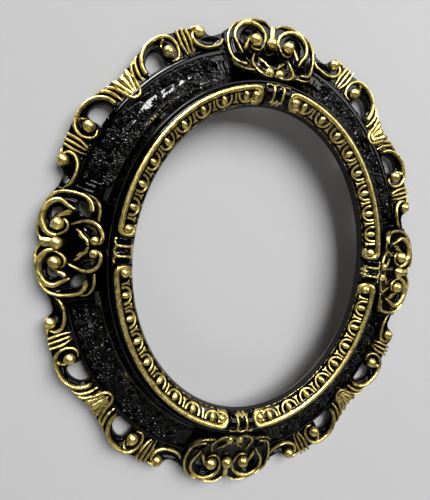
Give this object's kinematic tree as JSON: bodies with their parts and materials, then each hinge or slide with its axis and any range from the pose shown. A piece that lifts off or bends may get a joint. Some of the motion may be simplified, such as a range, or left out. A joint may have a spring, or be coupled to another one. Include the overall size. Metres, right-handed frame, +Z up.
{
  "type": "oval picture frame",
  "caption": "Oval wall picture frame with egg-and-dart sight moulding, deep cove, pierced scroll border, turn buttons and D-ring hangers.",
  "frame": {"origin": "centre of the oval, in the plane where the frame's foot rests on the wall", "axes": "+X to the viewer's right, +Z up, +Y into the wall, so the front faces -Y"},
  "size_m": [0.3814, 0.046, 0.4494],
  "materials": {
    "black_lacquer": "high gloss black lacquer on cast resin",
    "gold_over_black": "antique gold rubbed over raised edges, black in the recesses",
    "antique_gold": "antique gold paint, worn to black in the recesses",
    "plated_steel": "zinc plated, satin"
  },
  "bodies": {
    "frame": {"base_ring": "black_lacquer", "relief_panel_side_top_right": "black_lacquer", "relief_panel_end_top_right": "black_lacquer", "relief_panel_side_top_left": "black_lacquer", "relief_panel_end_top_left": "black_lacquer", "relief_panel_side_bottom_left": "black_lacquer", "relief_panel_end_bottom_left": "black_lacquer", "relief_panel_side_bottom_right": "black_lacquer", "relief_panel_end_bottom_right": "black_lacquer", "leaf_clasp_top_right": "gold_over_black", "ball_scroll_side_top_right": "gold_over_black", "c_scroll_side_top_right": "gold_over_black", "ball_scroll_end_top_right": "gold_over_black", "c_scroll_end_top_right": "gold_over_black", "leaf_clasp_top_left": "gold_over_black", "ball_scroll_side_top_left": "gold_over_black", "c_scroll_side_top_left": "gold_over_black", "ball_scroll_end_top_left": "gold_over_black", "c_scroll_end_top_left": "gold_over_black", "leaf_clasp_bottom_left": "gold_over_black", "ball_scroll_side_bottom_left": "gold_over_black", "c_scroll_side_bottom_left": "gold_over_black", "ball_scroll_end_bottom_left": "gold_over_black", "c_scroll_end_bottom_left": "gold_over_black", "leaf_clasp_bottom_right": "gold_over_black", "ball_scroll_side_bottom_right": "gold_over_black", "c_scroll_side_bottom_right": "gold_over_black", "ball_scroll_end_bottom_right": "gold_over_black", "c_scroll_end_bottom_right": "gold_over_black", "cartouche_right": "gold_over_black", "cartouche_left": "gold_over_black", "cartouche_top": "gold_over_black", "cartouche_bottom": "gold_over_black", "sight_moulding_top_right": "antique_gold", "sight_moulding_top_left": "antique_gold", "sight_moulding_bottom_left": "antique_gold", "sight_moulding_bottom_right": "antique_gold", "tie_right": "antique_gold", "tie_left": "antique_gold", "tie_top": "antique_gold", "tie_bottom": "antique_gold", "turn_button_screws": "plated_steel", "hanger_screws": "plated_steel", "hanger_strap_right": "plated_steel", "hanger_strap_left": "plated_steel"},
    "turn_button_1": {"turn_button_1": "plated_steel"},
    "turn_button_2": {"turn_button_2": "plated_steel"},
    "turn_button_3": {"turn_button_3": "plated_steel"},
    "turn_button_4": {"turn_button_4": "plated_steel"},
    "turn_button_5": {"turn_button_5": "plated_steel"},
    "turn_button_6": {"turn_button_6": "plated_steel"},
    "d_ring_right": {"d_ring_right": "plated_steel"},
    "d_ring_left": {"d_ring_left": "plated_steel"}
  },
  "joints": [
    {"name": "turn_button_1_swivel", "type": "hinge", "parent": "frame", "child": "turn_button_1", "pos_m": [0.09257, -0.014, 0.11053], "axis": [0, -1, 0], "range_deg": [-25, 205]},
    {"name": "turn_button_2_swivel", "type": "hinge", "parent": "frame", "child": "turn_button_2", "pos_m": [0, -0.014, 0.15875], "axis": [0, -1, 0], "range_deg": [-25, 205]},
    {"name": "turn_button_3_swivel", "type": "hinge", "parent": "frame", "child": "turn_button_3", "pos_m": [-0.09257, -0.014, 0.11053], "axis": [0, -1, 0], "range_deg": [-25, 205]},
    {"name": "turn_button_4_swivel", "type": "hinge", "parent": "frame", "child": "turn_button_4", "pos_m": [-0.09257, -0.014, -0.11053], "axis": [0, -1, 0], "range_deg": [-25, 205]},
    {"name": "turn_button_5_swivel", "type": "hinge", "parent": "frame", "child": "turn_button_5", "pos_m": [0, -0.014, -0.15875], "axis": [0, -1, 0], "range_deg": [-25, 205]},
    {"name": "turn_button_6_swivel", "type": "hinge", "parent": "frame", "child": "turn_button_6", "pos_m": [0.09257, -0.014, -0.11053], "axis": [0, -1, 0], "range_deg": [-25, 205]},
    {"name": "d_ring_right_swing", "type": "hinge", "parent": "frame", "child": "d_ring_right", "pos_m": [0.11988, -0.01182, 0.05808], "axis": [0.9532, 0, 0.3023], "range_deg": [0, 180]},
    {"name": "d_ring_left_swing", "type": "hinge", "parent": "frame", "child": "d_ring_left", "pos_m": [-0.11988, -0.01182, 0.05808], "axis": [0.9532, 0, -0.3023], "range_deg": [0, 180]}
  ]
}
